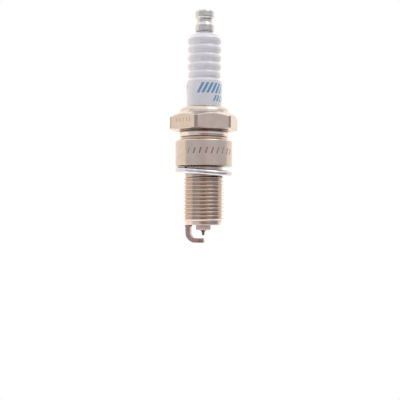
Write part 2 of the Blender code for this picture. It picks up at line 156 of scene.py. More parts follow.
STRAP_AZIMUTH = math.radians(-30)
STRAP_THICKNESS = 1.5
STRAP_WIDTH = 2.8
STRAP_END_WIDTH = 2.2
STRAP_ROUNDING = 0.18
STRAP_BEND_R = 1.9 + STRAP_THICKNESS / 2
STRAP_ROOT_R = 5.9 - STRAP_THICKNESS / 2
STRAP_TIP_X = 0.2
STRAP_TAPER = 1.8

PRINT_AZIMUTH = VIEW_AZIMUTH - math.pi / 2
PRINT_Z = 24.3  # the foot of the upper row of bars
STAMP_COUNT = 9
STAMP_STEP = math.radians(12)
STAMP_START = VIEW_AZIMUTH - math.pi / 2 - math.radians(31)
STAMP_Z = 4.75
STAMP_STROKE = Vector((0.3, 0.85))  # half of a stroke, round the seat and up it
STAMP_HALF_WIDTH = 0.24
STAMP_DEPTH = 0.13
TICKED_FACE = math.radians(-150)
TICK_STEP = 1.5


# ---------------------------------------------------------------- meshes
def straight(start, end, steps):
    """Points from start up to but not including end."""
    return [
        (start[0] + (end[0] - start[0]) * i / steps, start[1] + (end[1] - start[1]) * i / steps)
        for i in range(steps)
    ]


def arc(centre, radii, start, end, steps):
    """Points on an ellipse from the start to the end angle, in degrees and with both ends."""
    points = []
    for i in range(steps + 1):
        angle = math.radians(start + (end - start) * i / steps)
        points.append((centre[0] + radii[0] * math.cos(angle), centre[1] + radii[1] * math.sin(angle)))
    return points


def filleted(points, steps=4):
    """Rounds the corners of an open line of (radius, z, rounding) points.

    A guard point stands just outside each rounding, so that smooth shading leaves the flats flat.
    """
    line = [points[0][:2]]
    for before, (x, z, rounding), after in zip(points, points[1:], points[2:]):
        if rounding == 0:
            line.append((x, z))
            continue
        corner = Vector((x, z))
        to_before = Vector(before[:2]) - corner
        to_after = Vector(after[:2]) - corner
        cut = min(rounding, 0.44 * to_before.length, 0.44 * to_after.length)
        first = corner + to_before.normalized() * cut
        last = corner + to_after.normalized() * cut
        line.append(tuple(first + to_before.normalized() * GUARD_GAP))
        for i in range(steps + 1):
            t = i / steps
            line.append(tuple(first * (1 - t) ** 2 + corner * 2 * t * (1 - t) + last * t**2))
        line.append(tuple(last + to_after.normalized() * GUARD_GAP))
    line.append(points[-1][:2])
    return line


def thread(angle, start_z, end_z, crest_r, root_r, pitch, crest_z, fade):
    """A right-handed thread where it crosses one column, with a rounded crest and root."""
    depth = crest_r - root_r
    # a share of the pitch from the crest, and a share of the depth
    half_form = ((0.035, 1.0), (0.075, 0.95), (0.115, 0.84), (0.40, 0.10), (0.445, 0.02))
    form = [(-share, height) for share, height in reversed(half_form)]
    form += half_form
    turns = math.ceil((start_z - end_z) / pitch) + 2
    first_z = crest_z + pitch * (math.ceil((start_z - crest_z) / pitch) + angle / math.tau)
    points = []
    for turn in range(turns):
        for share, height in form:
            z = min(max(first_z - pitch * (turn + share), end_z), start_z)
            rise = min(start_z - z, z - end_z, fade) / fade
            points.append((root_r + depth * height * rise, z))
    return points


def finish_mesh(name, mesh, surface, sharp_degrees):
    """A bmesh in millimetres becomes an object in metres with smooth shading."""
    bmesh.ops.scale(mesh, vec=(MM, MM, MM), verts=mesh.verts)
    bmesh.ops.remove_doubles(mesh, verts=mesh.verts, dist=WELD_DISTANCE)
    loose = [edge for edge in mesh.edges if not edge.link_faces]
    bmesh.ops.delete(mesh, geom=loose, context="EDGES")
    bmesh.ops.recalc_face_normals(mesh, faces=mesh.faces)
    data = bpy.data.meshes.new(name)
    mesh.to_mesh(data)
    mesh.free()
    data.materials.append(surface)
    data.shade_smooth()
    data.set_sharp_from_angle(angle=math.radians(sharp_degrees))
    made = bpy.data.objects.new(name, data)
    bpy.context.scene.collection.objects.link(made)
    return made


def stands_for(made, node):
    """The piece rides on its CAD node's body and hides the node."""
    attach(made, BODY_OF_NODE[node])
    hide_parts(node)
    return made


def from_columns(name, columns, surface, sharp_degrees):
    """Joins (angle, outline) columns round the axis. The last one stands at a full turn."""
    mesh = bmesh.new()
    rings = []
    for angle, outline in columns:
        side = math.cos(angle)
        depth = math.sin(angle)
        rings.append([mesh.verts.new((r * side, r * depth, z)) for r, z in outline])
    for ring, next_ring in zip(rings, rings[1:]):
        for i in range(len(ring)):
            j = (i + 1) % len(ring)
            mesh.faces.new((ring[i], ring[j], next_ring[j], next_ring[i]))
    return finish_mesh(name, mesh, surface, sharp_degrees)


def columns_round(sides, outline_at):
    """The (angle, outline) columns of one turn, from a function that gives the outline at an angle."""
    angles = [math.tau * i / sides for i in range(sides + 1)]
    return [(angle, outline_at(angle)) for angle in angles]


def turned(name, outline, surface, sides, sharp_degrees):
    """The same outline all the way round."""
    columns = columns_round(sides, lambda angle: outline)
    return from_columns(name, columns, surface, sharp_degrees)


# ---------------------------------------------------------------- material helpers
class Surface:
    """One material's node tree, built with short calls. Coordinates are the object's own, in metres."""

    def __init__(self, name):
        self.material = bpy.data.materials.new(name)
        self.material.use_nodes = True
        self.tree = self.material.node_tree
        self.shader = self.tree.nodes["Principled BSDF"]
        self.place = self.tree.nodes.new("ShaderNodeTexCoord").outputs["Object"]
        split = self.node("ShaderNodeSeparateXYZ", {"Vector": self.place})
        self.x, self.y, self.z = (split.outputs[axis] for axis in "XYZ")

    def node(self, kind, inputs, **settings):
        made = self.tree.nodes.new(kind)
        for key, setting in settings.items():
            setattr(made, key, setting)
        for key, source in inputs.items():
            self.feed(made.inputs[key], source)
        return made

    def feed(self, socket, source):
        if isinstance(source, bpy.types.NodeSocket):
            self.tree.links.new(source, socket)
        else:
            socket.default_value = source

    def set(self, **inputs):
        """Sets or links the shader's inputs, named with underscores for spaces."""
        for key, source in inputs.items():
            self.feed(self.shader.inputs[key.replace("_", " ")], source)

    def math(self, operation, first, second=0.0, third=0.0):
        made = self.tree.nodes.new("ShaderNodeMath")
        made.operation = operation
        for socket, source in zip(made.inputs, (first, second, third)):
            self.feed(socket, source)
        return made.outputs[0]

    def remap(self, source, low, high, to_low=0.0, to_high=1.0):
        """A smooth step from low to high."""
        inputs = {"Value": source, "From Min": low, "From Max": high, "To Min": to_low, "To Max": to_high}
        return self.node("ShaderNodeMapRange", inputs, interpolation_type="SMOOTHSTEP").outputs[0]

    def noise(self, size_mm, detail=3.0, stretch=(1.0, 1.0, 1.0), distortion=0.0):
        """Noise with features of about size_mm, stretched along an axis by a factor over one."""
        scale = tuple(1 / factor for factor in stretch)
        place = self.node("ShaderNodeMapping", {"Vector": self.place, "Scale": scale}).outputs[0]
        inputs = {"Vector": place, "Scale": 1 / (size_mm * MM), "Detail": detail, "Distortion": distortion}
        return self.node("ShaderNodeTexNoise", inputs).outputs["Fac"]

    def mix(self, share, first, second):
        made = self.tree.nodes.new("ShaderNodeMix")
        made.data_type = "RGBA"
        colors = [socket for socket in made.inputs if socket.type == "RGBA"]
        self.feed(made.inputs[0], share)
        for socket, source in zip(colors, (first, second)):
            if isinstance(source, tuple):
                source = (*source, 1.0)
            self.feed(socket, source)
        return [socket for socket in made.outputs if socket.type == "RGBA"][0]

    def bump(self, height, distance_mm, strength=1.0):
        inputs = {"Height": height, "Distance": distance_mm * MM, "Strength": strength}
        if self.shader.inputs["Normal"].is_linked:
            inputs["Normal"] = self.shader.inputs["Normal"].links[0].from_socket
        self.set(Normal=self.node("ShaderNodeBump", inputs).outputs[0])

    def band(self, source, low, high, edge):
        """One between low and high, in millimetres, with soft edges."""
        rise = self.remap(source, (low - edge) * MM, (low + edge) * MM)
        fall = self.remap(source, (high + edge) * MM, (high - edge) * MM)
        return self.math("MULTIPLY", rise, fall)

    def along(self, x_share, y_share):
        """The distance from the axis along a level direction."""
        x_part = self.math("MULTIPLY", self.x, x_share)
        y_part = self.math("MULTIPLY", self.y, y_share)
        return self.math("ADD", x_part, y_part)

    def radius(self):
        """The distance from the axis."""
        x_square = self.math("MULTIPLY", self.x, self.x)
        y_square = self.math("MULTIPLY", self.y, self.y)
        return self.math("SQRT", self.math("ADD", x_square, y_square))

    def azimuth_from(self, angle):
        """The angle round the axis from a direction, in radians between minus and plus half a turn."""
        turn = self.math("ARCTAN2", self.y, self.x)
        return self.math("WRAP", self.math("SUBTRACT", turn, angle), math.pi, -math.pi)


# ---------------------------------------------------------------- materials
def plated_steel():
    """Satin nickel over machined steel: turning lines, fine grain and thin scratches, painted light on some
    bands, and painted shade with some soil and marks in the hollows.
    """
    s = Surface("plated_steel")
    mottle = s.noise(2.2, 4.0)
    grain = s.noise(0.16, 2.0)
    turning = s.noise(0.09, 2.0, stretch=(60.0, 60.0, 1.0))
    scratches = s.noise(0.35, 4.0, stretch=(1.0, 1.0, 9.0), distortion=1.5)
    tone = s.mix(s.remap(mottle, 0.35, 0.7), (0.55, 0.455, 0.385), (0.60, 0.505, 0.435))
    tone = s.mix(s.remap(grain, 0.60, 0.74, 0.0, 0.3), tone, (0.40, 0.33, 0.28))
    in_thread = s.band(s.z, THREAD_END_Z, THREAD_START_Z, 0.2)
    # painted light: a lighter tone on the bulge and shoulder, the crimp's foot, the shell's end and, a
    # little, the thread
    round_bulge = s.math("MULTIPLY", s.band(s.z, SHOULDER_Z + 0.1, HEX_BOTTOM_Z - 0.6, 0.2), 0.9)
    crimp_foot = s.band(s.z, HEX_TOP_Z + 0.1, HEX_TOP_Z + 0.6, 0.1)
    end_ring = s.math("MULTIPLY", s.band(s.z, SHELL_END_Z, THREAD_END_Z, 0.1), 0.7)
    painted_light_bands = s.math("MAXIMUM", s.math("MAXIMUM", round_bulge, crimp_foot), s.math("MULTIPLY", in_thread, 0.25))
    painted_light_bands = s.math("MAXIMUM", painted_light_bands, end_ring)
    # the painted light: those bands take the lighter tone
    tone = s.mix(painted_light_bands, tone, (0.74, 0.65, 0.58))
    # painted shade in the thread's roots, under the seat and in the bulge's creases, with the punch strokes,
    # hexagon corners and ticks, mottled
    shade_and_marks = s.math("MULTIPLY", painted_shade_and_marks(s, in_thread), s.remap(mottle, 0.2, 0.6, 0.6, 1.0))
    # the near-black tone: painted shade there, and the marks' own dark colour
    tone = s.mix(shade_and_marks, tone, (0.14, 0.10, 0.085))
    s.set(Base_Color=tone, Metallic=1.0)
    satin = s.math("SUBTRACT", s.remap(mottle, 0.3, 0.75, 0.19, 0.27), s.math("MULTIPLY", in_thread, 0.10))
    s.set(Roughness=s.math("ADD", satin, s.math("MULTIPLY", shade_and_marks, 0.1)))
    smooth_area = s.math("SUBTRACT", 1.0, in_thread)
    s.bump(s.math("MULTIPLY", turning, smooth_area), 0.003, 0.35)
    s.bump(s.math("MULTIPLY", grain, smooth_area), 0.003, 0.3)
    s.bump(s.math("MULTIPLY", scratches, smooth_area), 0.003, 0.2)
    return s.material


def painted_shade_and_marks(s, in_thread):
    """Painted shade in the thread's roots, under the seat and in the creases by the bulge; painted shade with
    some soil in the punch strokes; darker hexagon corners; and the ticks.
    """
    # painted shade: darker towards the thread's roots
    root = s.remap(s.radius(), (THREAD_ROOT_R + 0.3) * MM, THREAD_ROOT_R * MM, 0.0, 0.25)
    root_shade = s.math("MULTIPLY", in_thread, root)
    # painted shade under the seat, down the neck and over the thread's first turn
    underside = s.math("MULTIPLY", s.band(s.z, -3.8, 0.08, 0.06), 0.28)
    # painted shade in the creases above and below the bulge
    upper_crease = s.band(s.z, BULGE_Z + BULGE_SIZE[1] - 0.35, HEX_BOTTOM_Z + 0.02, 0.15)
    lower_crease = s.band(s.z, BULGE_Z - BULGE_SIZE[1] - 0.1, BULGE_Z - BULGE_SIZE[1] + 0.1, 0.15)
    near_bulge = s.remap(s.radius(), (BULGE_R + 1.0) * MM, (BULGE_R + 0.3) * MM, 0.0, 0.85)
    creases = s.math("MULTIPLY", s.math("MAXIMUM", upper_crease, lower_crease), near_bulge)
    # the punch strokes darker: painted shade in their pits, with some soil in them
    on_seat = s.band(s.z, 3.0, 7.0, 0.2)
    below_surface = s.remap(s.radius(), (SEAT_R - 0.03) * MM, (SEAT_R - 0.1) * MM)
    strokes = s.math("MULTIPLY", s.math("MULTIPLY", on_seat, below_surface), 0.8)
    # darker along the rounded corners of the hexagon
    on_hexagon = s.band(s.z, HEX_BOTTOM_Z + 0.3, HEX_TOP_Z - 0.3, 0.2)
    corner_start = (HEX_CORNER_REACH - 0.16) * MM
    corner_full = (HEX_CORNER_REACH - 0.06) * MM
    corners = s.math("MULTIPLY", on_hexagon, s.remap(s.radius(), corner_start, corner_full, 0.0, 0.5))
    # the painted shade and the marks, each at its strongest
    total = root_shade
    for darkening in (underside, creases, strokes, corners, face_ticks(s)):
        total = s.math("MAXIMUM", total, darkening)
    return total


def face_ticks(s):
    """A faint row of plain upright ticks on one face of the hexagon."""
    outwards = s.along(math.cos(TICKED_FACE), math.sin(TICKED_FACE))
    across = s.along(-math.sin(TICKED_FACE), math.cos(TICKED_FACE))
    start = -2 * TICK_STEP
    phase = s.math("FRACT", s.math("DIVIDE", s.math("SUBTRACT", across, start * MM), TICK_STEP * MM))
    ticks = s.math("LESS_THAN", phase, 0.36)
    window = s.math("MULTIPLY", s.band(across, start, 4.4, 0.02), s.band(s.z, 14.4, 15.8, 0.08))
    on_face = s.remap(outwards, (HEX_HALF - 0.3) * MM, (HEX_HALF - 0.2) * MM, 0.0, 0.3)
    return s.math("MULTIPLY", s.math("MULTIPLY", ticks, window), on_face)


def bright_sheet():
    """Rolled plated sheet: brighter and bluer than the shell, with faint circular draw lines."""
    s = Surface("bright_sheet")
    mottle = s.noise(1.5, 3.0)
    draw_lines = s.noise(0.12, 2.0, stretch=(20.0, 20.0, 1.0))
    tone = s.mix(s.remap(mottle, 0.35, 0.7), (0.55, 0.535, 0.565), (0.64, 0.625, 0.645))
    s.set(Base_Color=tone, Metallic=1.0, Roughness=s.remap(mottle, 0.3, 0.75, 0.05, 0.10))
    s.bump(draw_lines, 0.003, 0.3)
    return s.material


def glazed_ceramic():
    """White glaze above the shell with slanted ink bars, and an unglazed nose with a little soot below it."""
    s = Surface("glazed_ceramic")
    cloud = s.noise(5.0, 3.0)
    speck = s.noise(0.25, 2.0)
    glaze = s.mix(s.remap(cloud, 0.35, 0.7), (0.65, 0.655, 0.68), (0.70, 0.705, 0.72))
    glaze = s.mix(s.remap(speck, 0.72, 0.78, 0.0, 0.5), glaze, (0.58, 0.57, 0.55))
    deposit = s.noise(0.9, 4.0)
    bare = s.mix(s.remap(deposit, 0.3, 0.7), (0.74, 0.61, 0.53), (0.88, 0.80, 0.72))
    tip_soot = s.remap(s.z, (NOSE_END_Z + 1.2) * MM, NOSE_END_Z * MM, 0.0, 0.35)
    bare = s.mix(tip_soot, bare, (0.46, 0.36, 0.31))
    below = s.remap(s.z, (GLAZE_END_Z + 1.0) * MM, GLAZE_END_Z * MM)
    glazed = s.math("SUBTRACT", 1.0, below)
    ink_share = s.math("MULTIPLY", ink_bars(s), s.remap(speck, 0.2, 0.4, 0.75, 1.0))
    tone = s.mix(ink_share, glaze, (0.10, 0.27, 0.48))
    s.set(Base_Color=s.mix(below, tone, bare), Metallic=0.0)
    s.set(Roughness=s.math("SUBTRACT", 0.7, s.math("MULTIPLY", glazed, 0.48)))
    s.set(Coat_Weight=s.math("MULTIPLY", glazed, 0.6), Coat_Roughness=0.08, IOR=1.6)
    s.bump(cloud, 0.02, 0.15)
    return s.material


def ink_bars(s):
    """A generic printed pattern on the barrel: rows of plain slanted bars."""
    along = s.math("MULTIPLY", s.azimuth_from(PRINT_AZIMUTH), BARREL_R * MM)
    lean = s.math("MULTIPLY", s.math("SUBTRACT", s.z, PRINT_Z * MM), 0.53)
    across = s.math("SUBTRACT", along, lean)

    def row(low_z_mm, high_z_mm, start, end, step, share):
        """Bars of one row, share of each step filled with ink. Lengths are in millimetres."""
        phase = s.math("FRACT", s.math("DIVIDE", s.math("SUBTRACT", across, start * MM), step * MM))
        bars = s.math("LESS_THAN", phase, share)
        window = s.math("MULTIPLY", s.band(across, start, end, 0.02), s.band(s.z, low_z_mm, high_z_mm, 0.05))
        return s.math("MULTIPLY", bars, window)

    main_row = row(PRINT_Z, PRINT_Z + 3.45, -2.6, 8.6, 1.6, 0.6)
    second_row = row(PRINT_Z - 2.7, PRINT_Z - 0.6, 4.4, 9.6, 1.3, 0.55)
    side_row = row(PRINT_Z, PRINT_Z + 3.0, -10.6, -7.4, 1.6, 0.5)
    return s.math("MAXIMUM", s.math("MAXIMUM", main_row, second_row), side_row)


def nickel_alloy():
    """Heat-dulled nickel alloy with lengthwise rolling marks and brown blotches."""
    s = Surface("nickel_alloy")
    blotch = s.noise(0.9, 4.0, distortion=0.6)
    grain = s.noise(0.08, 3.0)
    rolled = s.noise(0.2, 3.0, stretch=(1.0, 1.0, 5.0))
    tone = s.mix(s.remap(blotch, 0.3, 0.7), (0.37, 0.25, 0.22), (0.49, 0.35, 0.31))
    tone = s.mix(s.remap(rolled, 0.5, 0.75, 0.0, 0.35), tone, (0.20, 0.13, 0.115))
    near_axis = s.remap(s.radius(), 2.0 * MM, 1.6 * MM)
    cone = s.math("MULTIPLY", near_axis, s.band(s.z, ELECTRODE_END_Z - 0.1, NOSE_END_Z + 2.0, 0.05))
    tone = s.mix(cone, tone, (0.19, 0.08, 0.062))
    s.set(Base_Color=tone, Metallic=1.0, Roughness=s.remap(blotch, 0.3, 0.7, 0.24, 0.36))
    s.bump(rolled, 0.01, 0.3)
    s.bump(grain, 0.006, 0.3)
    return s.material


def weld_metal():
    """Oxidised weld flash: nearly black with a brown and blue heat tint."""
    s = Surface("weld_metal")
    tint = s.noise(0.35, 3.0)
    grain = s.noise(0.07, 2.0)
    tone = s.mix(s.remap(tint, 0.35, 0.65), (0.13, 0.085, 0.07), (0.11, 0.12, 0.15))
    s.set(Base_Color=tone, Metallic=0.8, Roughness=s.remap(grain, 0.3, 0.7, 0.35, 0.6))
    s.bump(grain, 0.015, 0.7)
    return s.material


def tip_metal():
    """The fine wire: heat-browned precious metal with drawing lines along it."""
    s = Surface("tip_metal")
    lines = s.noise(0.06, 2.0, stretch=(1.0, 1.0, 12.0))
    s.set(Base_Color=s.mix(s.remap(lines, 0.3, 0.7), (0.13, 0.072, 0.068), (0.18, 0.11, 0.105)), Metallic=1.0)
    s.set(Roughness=s.remap(lines, 0.3, 0.7, 0.26, 0.42))
    s.bump(lines, 0.004, 0.5)
    return s.material


def terminal_steel():
    """Bright plated steel with turning lines."""
    s = Surface("terminal_steel")
    mottle = s.noise(1.4, 3.0)
    turning = s.noise(0.08, 2.0, stretch=(40.0, 40.0, 1.0))
    s.set(Base_Color=s.mix(s.remap(mottle, 0.3, 0.7), (0.50, 0.485, 0.46), (0.60, 0.585, 0.56)), Metallic=1.0)
    s.set(Roughness=s.remap(mottle, 0.3, 0.75, 0.18, 0.28))
    s.bump(turning, 0.006, 0.5)
    return s.material


def packing_steel():
    """Plain wire and sheet with a thin oil film."""
    s = Surface("packing_steel")
    film = s.noise(0.8, 3.0)
    drawn = s.noise(0.06, 2.0, stretch=(15.0, 15.0, 1.0))
    s.set(Base_Color=s.mix(s.remap(film, 0.3, 0.7), (0.40, 0.39, 0.38), (0.52, 0.50, 0.48)), Metallic=1.0)
    s.set(Roughness=s.remap(film, 0.3, 0.7, 0.3, 0.5))
    s.bump(drawn, 0.005, 0.5)
    return s.material


def powder(name, light, dark, size_mm):
    """Pressed powder or fused grains: a matt two-tone grain."""
    s = Surface(name)
    grain = s.noise(size_mm, 4.0)
    s.set(Base_Color=s.mix(s.remap(grain, 0.35, 0.65), dark, light), Metallic=0.0)
    s.set(Roughness=s.remap(grain, 0.3, 0.7, 0.6, 0.9))
    s.bump(grain, size_mm / 8, 0.6)
    return s.material


def copper_metal():
    """Drawn copper with brown tarnish."""
    s = Surface("copper_metal")
    tarnish = s.noise(0.7, 3.0)
    drawn = s.noise(0.05, 2.0, stretch=(1.0, 1.0, 20.0))
    s.set(Base_Color=s.mix(s.remap(tarnish, 0.35, 0.7), (0.80, 0.42, 0.27), (0.50, 0.25, 0.16)), Metallic=1.0)
    s.set(Roughness=s.remap(tarnish, 0.3, 0.7, 0.25, 0.45))
    s.bump(drawn, 0.003, 0.5)
    return s.material


# ---------------------------------------------------------------- the shell
def hexagon_radius(angle):
    """Distance from the axis to the hexagon's side, its corners rounded. Flats face 30, 90 ... degrees."""
    from_flat = abs((angle % math.radians(60)) - math.radians(30))
    centre = (HEX_HALF - HEX_CORNER_R) / math.cos(math.radians(30))
    tangent = math.atan2(centre * math.sin(math.radians(30)), HEX_HALF)
    if from_flat <= tangent:
        return HEX_HALF / math.cos(from_flat)
    from_corner = math.radians(30) - from_flat
    reach = HEX_CORNER_R**2 - (centre * math.sin(from_corner)) ** 2
    return min(HEX_CORNER_REACH, centre * math.cos(from_corner) + math.sqrt(reach))


def stamp_depth(angle, z):
    """Depth of the row of slanted punch strokes round the seat cylinder."""
    depth = 0.0
    for i in range(STAMP_COUNT):
        off = (angle - STAMP_START - STAMP_STEP * i + math.pi) % math.tau - math.pi
        if abs(off) > STAMP_STEP:
            continue
        point = Vector((off * SEAT_R, z - STAMP_Z))
        share = max(-1.0, min(1.0, point.dot(STAMP_STROKE) / STAMP_STROKE.length_squared))
        gap = (point - STAMP_STROKE * share).length
        depth = max(depth, STAMP_DEPTH * max(0.0, 1 - (gap / STAMP_HALF_WIDTH) ** 2))
    return depth


def shell_outline(angle):
    """Down the shell's outside from the crimp to the firing end, then up its bore."""
    hex_r = hexagon_radius(angle)
    top_edge_z = HEX_TOP_Z - (hex_r - HEX_TOP_R) * math.tan(math.radians(30))
    bottom_edge_z = HEX_BOTTOM_Z + (hex_r - HEX_BOTTOM_R) * math.tan(math.radians(15))
    dome_r = LIP_R + 0.1
    dome = arc((dome_r, HEX_TOP_Z + 0.12), (CRIMP_R - dome_r, CRIMP_TOP_Z - HEX_TOP_Z - 0.12), 90, 0, 16)
    hexagon = filleted([
        (CRIMP_R - 0.03, HEX_TOP_Z, 0),
        (HEX_TOP_R, HEX_TOP_Z, 0.2),
        (hex_r, top_edge_z, 0.22),
        (hex_r, bottom_edge_z, 0.2),
        (HEX_BOTTOM_R, HEX_BOTTOM_Z, 0.1),
        (8.0, HEX_BOTTOM_Z, 0),
    ])
    bulge = arc((BULGE_R - BULGE_SIZE[0], BULGE_Z), BULGE_SIZE, 90, -90, 16)
    shoulder = filleted([
        (7.95, BULGE_Z - 1.02, 0),
        (8.2, SHOULDER_Z + 1.2, 0.12),
        (8.5, SHOULDER_Z + 0.65, 0.3),
        (SEAT_R, SHOULDER_Z + 0.35, 0.5),
        (SEAT_R, SHOULDER_Z - 0.8, 0),
    ])
    side = straight((SEAT_R, SHOULDER_Z - 0.8), (SEAT_R, 0.8), 48)
    side = [(r - stamp_depth(angle, z), z) for r, z in side[1:]]
    neck = filleted([
        (SEAT_R, 0.8, 0),
        (SEAT_R, 0.2, 0.15),
        (SEAT_R - 0.2, 0.0, 0.12),
        (NECK_R + 0.3, 0.0, 0),
        (NECK_R, -0.3, 0.3),
        (NECK_R, THREAD_START_Z + 0.3, 0.1),
        (THREAD_ROOT_R, THREAD_START_Z + 0.1, 0),
    ])
    threads = thread(
        angle, THREAD_START_Z, THREAD_END_Z, THREAD_CREST_R, THREAD_ROOT_R, PITCH, CREST_Z_AT_PLUS_X, 0.6
    )
    firing_end = filleted([
        (SHELL_END_R, THREAD_END_Z - 0.08, 0),
        (SHELL_END_R, SHELL_END_Z + 0.15, 0.1),
        (SHELL_END_R - 0.15, SHELL_END_Z, 0.1),
        (FIRING_BORE_R, SHELL_END_Z, 0.2),
        (FIRING_BORE_R, LEDGE_BOTTOM_Z - 0.5, 0),
        (LEDGE_R, LEDGE_BOTTOM_Z, 0),
        (LEDGE_R, LEDGE_TOP_Z, 0),
        (LOWER_BORE_R, LEDGE_TOP_Z + 1.0, 0),
        (LOWER_BORE_R, 2.95, 0),
        (UPPER_BORE_R, 5.25, 0),
        (UPPER_BORE_R, HEX_TOP_Z, 0.2),
        (7.2, HEX_TOP_Z + 0.6, 0.3),
        (LIP_R + 0.6, HEX_TOP_Z + 1.3, 0.4),
        (LIP_R, HEX_TOP_Z + 1.6, 0.1),
        (LIP_R, CRIMP_TOP_Z - 0.1, 0),
    ])
    return dome + hexagon + bulge + shoulder + side + neck + threads + firing_end


def make_shell():
    """The columns are close together, so that the thread, the punch strokes and the corners come out."""
    columns = columns_round(432, shell_outline)
    stands_for(from_columns("shell_surface", columns, plated_steel(), 50), "metal_shell")


# ---------------------------------------------------------------- the insulator
def make_insulator():
    """Ribs, barrel, flange, stem and nose on the outside, and the stud's and electrode's bores inside."""
    line = [
        (STUD_BORE_R, INSULATOR_TOP_Z, 0),
        (RIB_GROOVE_R - 0.5, INSULATOR_TOP_Z, 0.4),
        (RIB_GROOVE_R, INSULATOR_TOP_Z - 0.6, 0.3),
    ]
    for rib in reversed(range(RIB_COUNT)):
        centre_z = FIRST_RIB_Z + RIB_PITCH * rib
        crest_r = FIRST_RIB_R if rib == 0 else RIB_R
        line += [
            (RIB_GROOVE_R, centre_z + RIB_PITCH / 2, 0.5),
            (crest_r, centre_z + 0.22 * RIB_PITCH, 0.8),
            (crest_r, centre_z - 0.22 * RIB_PITCH, 0.5),
        ]
    line += [
        (WAIST_R, WAIST_Z, 0.45),
        (BARREL_R, BARREL_TOP_Z + 0.15, 0.55),
        (BARREL_R, 12.65, 0),
        (FLANGE_R, FLANGE_TOP_Z, 0.2),
        (FLANGE_R, FLANGE_BOTTOM_Z, 0.2),
        (STEM_R, FLANGE_BOTTOM_Z - 2.2, 0),
        (STEM_R, STEM_END_Z, 0),
        (NOSE_ROOT_R + 0.15, STEM_END_Z - 1.0, 0.2),
        (NOSE_ROOT_R, NOSE_ROOT_Z, 0.5),
        (NOSE_R + 0.05, NOSE_END_Z + 1.6, 0.5),
        (NOSE_R, NOSE_END_Z, 0.85),
        (ELECTRODE_BORE_R, NOSE_END_Z, 0.12),
        (ELECTRODE_BORE_R, BORE_STEP_Z, 0),
        (STUD_BORE_R, BORE_STEP_Z, 0),
        (STUD_BORE_R, INSULATOR_TOP_Z - 0.1, 0),
    ]
    stands_for(turned("insulator_surface", filleted(line, 6), glazed_ceramic(), 144, 50), "insulator")


# ---------------------------------------------------------------- the gasket
def make_gasket():
    """The rolled sheet ring at its resting tilt, with the slight wave of stamped sheet."""
    high = 0.95
    sheet = 0.4
    outer_r = 9.75
    inner_r = 6.75
    rim_r = outer_r - high
    fold = high / 2
    middle_top = 0.2
    outline = filleted([(inner_r + 0.3, high - sheet, 0), (inner_r + 0.3, high, 0.1), (rim_r, high, 0)])[1:-1]
    outline += arc((rim_r, 0), (high, high), 90, -90, 20)
    outline += arc((inner_r + fold, -fold), (fold, fold), 270, 90, 10)[:-1]
    outline += filleted([
        (inner_r + fold, middle_top, 0),
        (rim_r - 0.4, middle_top, 0.1),
        (rim_r - 0.4, middle_top - sheet, 0.1),
        (inner_r + fold + 0.1, middle_top - sheet, 0.08),
        (inner_r + fold + 0.1, sheet - high, 0.08),
        (rim_r, sheet - high, 0),
    ])[:-1]
    outline += arc((rim_r, 0), (high - sheet, high - sheet), -90, 90, 10)
    outline.append((inner_r + 0.3, high - sheet))

    def waved(angle):
        wave = 0.03 * math.sin(2 * angle + 1) + 0.015 * math.sin(5 * angle)
        return [(r, z + wave) for r, z in outline]

    ring = from_columns("gasket_surface", columns_round(180, waved), bright_sheet(), 50)
    tilt_axis = (-math.sin(GASKET_LOW_SIDE), math.cos(GASKET_LOW_SIDE), 0)
    lean = Matrix.Rotation(GASKET_TILT, 4, tilt_axis)
    ring.data.transform(Matrix.Translation((0, 0, (GASKET_Z + GASKET_RISE) * MM)) @ lean)
    stands_for(ring, "crush_gasket")


# ---------------------------------------------------------------- the terminal
def make_terminal_nut(steel):
    """A round nut with a waist for the cap's spring clip, and a blind bore over the stud."""
    top = TERMINAL_TOP_Z
    nut = filleted([
        (0.0, top, 0),
        (NUT_R - 0.65, top, 0.2),
        (NUT_R - 0.15, top - 0.35, 0.25),
        (NUT_R, top - 0.8, 0.3),
        (NUT_R, top - 2.4, 0.25),
        (NUT_WAIST_R, top - 3.1, 0.5),
        (NUT_WAIST_R, top - 4.4, 0.5),
        (NUT_R, top - 5.2, 0.3),
        (NUT_R, NUT_BOTTOM_Z + 0.3, 0.2),
        (NUT_R - 0.3, NUT_BOTTOM_Z, 0.15),
        (NUT_BORE_R, NUT_BOTTOM_Z, 0.1),
        (NUT_BORE_R, STUD_TOP_Z + 0.3, 0),
        (0.0, STUD_TOP_Z + 0.3, 0),
    ])
    stands_for(turned("terminal_nut_surface", nut, steel, 96, 50), "terminal_nut")


def stud_outline(angle):
    """Down the threaded end, the collar that rests on the insulator, the shank and its knurled end."""
    collar_top = NUT_BOTTOM_Z - 0.05
    collar_bottom = INSULATOR_TOP_Z + 0.05
    thread_top = STUD_TOP_Z - 0.3
    thread_end = collar_top + 0.5
    crest_z = collar_top + 1.0
    root_r = STUD_CREST_R - THREAD_DEPTH_SHARE * STUD_PITCH
    outline = [(0.0, STUD_TOP_Z), (root_r - 0.3, STUD_TOP_Z)]
    outline += thread(angle, thread_top, thread_end, STUD_CREST_R, root_r, STUD_PITCH, crest_z, 0.4)
    outline += filleted([
        (root_r, collar_top, 0),
        (COLLAR_R, collar_top, 0.12),
        (COLLAR_R, collar_bottom, 0.12),
        (SHANK_R, collar_bottom, 0),
        (SHANK_R, KNURL_TOP_Z, 0),
        (KNURL_R, KNURL_TOP_Z - 0.2, 0),
        (KNURL_R, STUD_END_Z + 0.3, 0.1),
        (KNURL_R - 0.3, STUD_END_Z, 0.1),
        (0.0, STUD_END_Z, 0),
    ])
    return outline


def make_terminal():
    steel = terminal_steel()
    make_terminal_nut(steel)
    columns = columns_round(72, stud_outline)
    stands_for(from_columns("terminal_stud_surface", columns, steel, 50), "terminal_stud")


